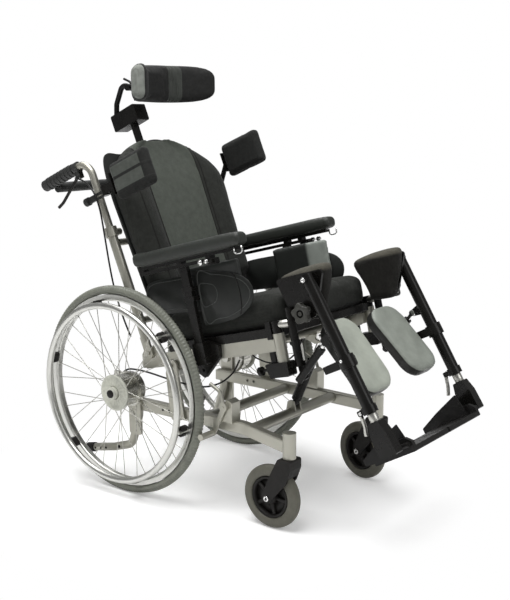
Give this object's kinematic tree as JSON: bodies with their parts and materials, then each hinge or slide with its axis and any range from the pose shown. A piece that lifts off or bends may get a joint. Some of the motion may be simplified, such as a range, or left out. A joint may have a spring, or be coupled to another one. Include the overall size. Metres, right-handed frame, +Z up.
{
  "type": "tilt in space wheelchair",
  "caption": "Attendant wheelchair whose seat tilts on its chassis, with a reclining back, headrest, lateral pads, raising armrests and elevating legrests on spoked rear wheels and casters.",
  "frame": {"origin": "on the floor under the middle of the chair's length and width", "axes": "+X to the occupant's left, +Y to the rear, +Z up; the occupant faces -Y"},
  "size_m": [0.653, 1.2486, 1.2223],
  "materials": {
    "tyre": "grey rubber with a satin sheen",
    "rim": "silver anodised",
    "hub": "polished",
    "caster_tyre": "matte grey rubber",
    "frame_paint": "silver metallic paint",
    "black_paint": "gloss black",
    "black_plastic": "fine matte",
    "shell_plastic": "fine matte",
    "upholstery": "woven nylon",
    "pad_skin": "soft moulded skin",
    "calf_skin": "soft moulded skin",
    "grip_rubber": "matte",
    "foot_plastic": "moulded, matte",
    "steel": "brushed",
    "cable": "smooth sleeve"
  },
  "bodies": {
    "chassis": {"chassis_frame": "frame_paint", "tipping_tubes": "frame_paint", "drum_brakes": "steel", "brake_cables_lower": "cable"},
    "seat": {"seat_frame": "frame_paint", "seat_pan": "black_paint", "seat_cushion": "upholstery"},
    "back": {"back_frame": "frame_paint", "back_shell": "shell_plastic", "back_cushion": "upholstery"},
    "push": {"push_handles": "frame_paint", "push_grips": "grip_rubber", "brake_cables_upper": "cable"},
    "headrest_mast": {"headrest_post": "steel"},
    "headrest": {"headrest_arm": "black_paint", "headrest_pad": "upholstery"},
    "tilt_cylinder": {"tilt_cylinder": "black_paint"},
    "tilt_rod": {"tilt_rod": "steel"},
    "rear_wheel_right": {"rear_tyre_right": "tyre", "rear_rim_right": "rim", "rear_hub_right": "hub"},
    "caster_fork_right": {"caster_fork_right": "black_plastic"},
    "caster_wheel_right": {"caster_wheel_right": "caster_tyre"},
    "wheel_lock_right": {"wheel_lock_right": "black_paint"},
    "brake_lever_right": {"brake_lever_right": "black_plastic"},
    "lateral_right": {"lateral_arm_right": "black_paint", "lateral_pad_right": "upholstery"},
    "armrest_right": {"armrest_frame_right": "black_paint", "armrest_pads_right": "pad_skin", "skirt_guard_right": "black_plastic"},
    "legrest_right": {"legrest_hanger_right": "black_paint", "knee_pad_right": "upholstery"},
    "leg_right": {"leg_tube_right": "black_paint"},
    "calf_bracket_right": {"calf_bracket_right": "black_paint"},
    "calf_pad_right": {"calf_pad_right": "calf_skin"},
    "foot_right": {"foot_tube_right": "steel"},
    "footplate_right": {"footplate_right": "foot_plastic"},
    "elevation_cylinder_right": {"elevation_cylinder_right": "black_paint"},
    "elevation_rod_right": {"elevation_rod_right": "steel"},
    "rear_wheel_left": {"rear_tyre_left": "tyre", "rear_rim_left": "rim", "rear_hub_left": "hub"},
    "caster_fork_left": {"caster_fork_left": "black_plastic"},
    "caster_wheel_left": {"caster_wheel_left": "caster_tyre"},
    "wheel_lock_left": {"wheel_lock_left": "black_paint"},
    "brake_lever_left": {"brake_lever_left": "black_plastic"},
    "lateral_left": {"lateral_arm_left": "black_paint", "lateral_pad_left": "upholstery"},
    "armrest_left": {"armrest_frame_left": "black_paint", "armrest_pads_left": "pad_skin", "skirt_guard_left": "black_plastic"},
    "legrest_left": {"legrest_hanger_left": "black_paint", "knee_pad_left": "upholstery"},
    "leg_left": {"leg_tube_left": "black_paint"},
    "calf_bracket_left": {"calf_bracket_left": "black_paint"},
    "calf_pad_left": {"calf_pad_left": "calf_skin"},
    "foot_left": {"foot_tube_left": "steel"},
    "footplate_left": {"footplate_left": "foot_plastic"},
    "elevation_cylinder_left": {"elevation_cylinder_left": "black_paint"},
    "elevation_rod_left": {"elevation_rod_left": "steel"}
  },
  "joints": [
    {"name": "seat_tilt", "type": "hinge", "parent": "chassis", "child": "seat", "pos_m": [0, 0.1266, 0.39], "axis": [-1, 0, 0], "range_deg": [-14, 6]},
    {"name": "back_recline", "type": "hinge", "parent": "seat", "child": "back", "pos_m": [0, 0.21038, 0.416], "axis": [-1, 0, 0], "range_deg": [-7, 22]},
    {"name": "push_height", "type": "slide", "parent": "back", "child": "push", "axis": [0, 0.3827, 0.9239], "range_m": [0, 0.06]},
    {"name": "headrest_height", "type": "slide", "parent": "back", "child": "headrest_mast", "axis": [0, 0.3827, 0.9239], "range_m": [-0.02, 0.07]},
    {"name": "headrest_angle", "type": "hinge", "parent": "headrest_mast", "child": "headrest", "pos_m": [0, 0.4566, 1.158], "axis": [-1, 0, 0], "range_deg": [-20, 20]},
    {"name": "tilt_cylinder_pivot", "type": "hinge", "parent": "chassis", "child": "tilt_cylinder", "pos_m": [0, -0.1414, 0.2745], "axis": [-1, 0, 0], "range_deg": [-16.04, 7.16]},
    {"name": "tilt_rod_slide", "type": "slide", "parent": "tilt_cylinder", "child": "tilt_rod", "axis": [0, -0.3981, 0.9174], "range_m": [-0.0716, 0.0313]},
    {"name": "rear_wheel_spin_right", "type": "hinge", "parent": "chassis", "child": "rear_wheel_right", "pos_m": [-0.268, 0.2766, 0.305], "axis": [1, 0, 0], "continuous": true},
    {"name": "caster_swivel_right", "type": "hinge", "parent": "chassis", "child": "caster_fork_right", "pos_m": [-0.226, -0.2824, 0.204], "axis": [0, 0, 1], "continuous": true},
    {"name": "caster_spin_right", "type": "hinge", "parent": "caster_fork_right", "child": "caster_wheel_right", "pos_m": [-0.226, -0.2274, 0.0875], "axis": [1, 0, 0], "continuous": true},
    {"name": "wheel_lock_right", "type": "hinge", "parent": "chassis", "child": "wheel_lock_right", "pos_m": [-0.23, -0.0694, 0.307], "axis": [-1, 0, 0], "range_deg": [0, 30]},
    {"name": "brake_lever_right", "type": "hinge", "parent": "push", "child": "brake_lever_right", "pos_m": [-0.215, 0.47004, 0.90701], "axis": [1, 0, 0], "range_deg": [0, 12], "stiffness_Nm_per_rad": 2.5, "springref_deg": -8.59},
    {"name": "lateral_swing_right", "type": "hinge", "parent": "back", "child": "lateral_right", "pos_m": [-0.255, 0.32735, 0.87087], "axis": [0, -0.3827, -0.9239], "range_deg": [0, 80]},
    {"name": "armrest_height_right", "type": "slide", "parent": "seat", "child": "armrest_right", "axis": [0, 0.2419, 0.9703], "range_m": [0, 0.045]},
    {"name": "legrest_swing_right", "type": "hinge", "parent": "seat", "child": "legrest_right", "pos_m": [-0.225, -0.25522, 0.4955], "axis": [0, -0.2419, -0.9703], "range_deg": [0, 90]},
    {"name": "leg_elevation_right", "type": "hinge", "parent": "legrest_right", "child": "leg_right", "pos_m": [-0.23, -0.33901, 0.68026], "axis": [-1, 0, 0], "range_deg": [-5, 38]},
    {"name": "calf_swing_right", "type": "hinge", "parent": "leg_right", "child": "calf_bracket_right", "pos_m": [-0.23, -0.4559, 0.48801], "axis": [0, -0.5195, -0.8545], "range_deg": [0, 100]},
    {"name": "calf_pad_tilt_right", "type": "hinge", "parent": "calf_bracket_right", "child": "calf_pad_right", "pos_m": [-0.118, -0.38134, 0.45087], "axis": [-1, 0, 0], "range_deg": [-10, 12]},
    {"name": "foot_length_right", "type": "slide", "parent": "leg_right", "child": "foot_right", "axis": [0, -0.5195, -0.8545], "range_m": [0, 0.06]},
    {"name": "footplate_flip_right", "type": "hinge", "parent": "foot_right", "child": "footplate_right", "pos_m": [-0.192, -0.55986, 0.26983], "axis": [0, -0.866, 0.5], "range_deg": [0, 45]},
    {"name": "elevation_cylinder_pivot_right", "type": "hinge", "parent": "legrest_right", "child": "elevation_cylinder_right", "pos_m": [-0.222, -0.31654, 0.42731], "axis": [-1, 0, 0], "range_deg": [-10, 1.75]},
    {"name": "elevation_rod_slide_right", "type": "slide", "parent": "elevation_cylinder_right", "child": "elevation_rod_right", "axis": [0, -0.5838, 0.8119], "range_m": [-0.014, 0.0998]},
    {"name": "rear_wheel_spin_left", "type": "hinge", "parent": "chassis", "child": "rear_wheel_left", "pos_m": [0.268, 0.2766, 0.305], "axis": [1, 0, 0], "continuous": true},
    {"name": "caster_swivel_left", "type": "hinge", "parent": "chassis", "child": "caster_fork_left", "pos_m": [0.226, -0.2824, 0.204], "axis": [0, 0, 1], "continuous": true},
    {"name": "caster_spin_left", "type": "hinge", "parent": "caster_fork_left", "child": "caster_wheel_left", "pos_m": [0.23744, -0.2286, 0.0875], "axis": [0.9781, -0.2079, 0], "continuous": true},
    {"name": "wheel_lock_left", "type": "hinge", "parent": "chassis", "child": "wheel_lock_left", "pos_m": [0.23, -0.0694, 0.307], "axis": [-1, 0, 0], "range_deg": [0, 30]},
    {"name": "brake_lever_left", "type": "hinge", "parent": "push", "child": "brake_lever_left", "pos_m": [0.215, 0.47004, 0.90701], "axis": [1, 0, 0], "range_deg": [0, 12], "stiffness_Nm_per_rad": 2.5, "springref_deg": -8.59},
    {"name": "lateral_swing_left", "type": "hinge", "parent": "back", "child": "lateral_left", "pos_m": [0.255, 0.32735, 0.87087], "axis": [0, 0.3827, 0.9239], "range_deg": [0, 80]},
    {"name": "armrest_height_left", "type": "slide", "parent": "seat", "child": "armrest_left", "axis": [0, 0.2419, 0.9703], "range_m": [-0.008, 0.037]},
    {"name": "legrest_swing_left", "type": "hinge", "parent": "seat", "child": "legrest_left", "pos_m": [0.225, -0.25522, 0.4955], "axis": [0, 0.2419, 0.9703], "range_deg": [0, 90]},
    {"name": "leg_elevation_left", "type": "hinge", "parent": "legrest_left", "child": "leg_left", "pos_m": [0.23, -0.33901, 0.68026], "axis": [-1, 0, 0], "range_deg": [-5, 38]},
    {"name": "calf_swing_left", "type": "hinge", "parent": "leg_left", "child": "calf_bracket_left", "pos_m": [0.23, -0.4559, 0.48801], "axis": [0, 0.5195, 0.8545], "range_deg": [0, 100]},
    {"name": "calf_pad_tilt_left", "type": "hinge", "parent": "calf_bracket_left", "child": "calf_pad_left", "pos_m": [0.118, -0.38134, 0.45087], "axis": [-1, 0, 0], "range_deg": [-10, 12]},
    {"name": "foot_length_left", "type": "slide", "parent": "leg_left", "child": "foot_left", "axis": [0, -0.5195, -0.8545], "range_m": [0, 0.06]},
    {"name": "footplate_flip_left", "type": "hinge", "parent": "foot_left", "child": "footplate_left", "pos_m": [0.192, -0.55986, 0.26983], "axis": [0, 0.866, -0.5], "range_deg": [0, 45]},
    {"name": "elevation_cylinder_pivot_left", "type": "hinge", "parent": "legrest_left", "child": "elevation_cylinder_left", "pos_m": [0.222, -0.31654, 0.42731], "axis": [-1, 0, 0], "range_deg": [-10, 1.75]},
    {"name": "elevation_rod_slide_left", "type": "slide", "parent": "elevation_cylinder_left", "child": "elevation_rod_left", "axis": [0, -0.5838, 0.8119], "range_m": [-0.014, 0.0998]}
  ],
  "couplings": [
    {"joint": "tilt_cylinder_pivot", "follows": "seat_tilt", "ratio": 1.11},
    {"joint": "tilt_rod_slide", "follows": "seat_tilt", "m_per_rad": 0.289},
    {"joint": "elevation_cylinder_pivot_right", "follows": "leg_elevation_right", "ratio": -0.25},
    {"joint": "elevation_rod_slide_right", "follows": "leg_elevation_right", "m_per_rad": 0.149},
    {"joint": "elevation_cylinder_pivot_left", "follows": "leg_elevation_left", "ratio": -0.25},
    {"joint": "elevation_rod_slide_left", "follows": "leg_elevation_left", "m_per_rad": 0.149}
  ]
}
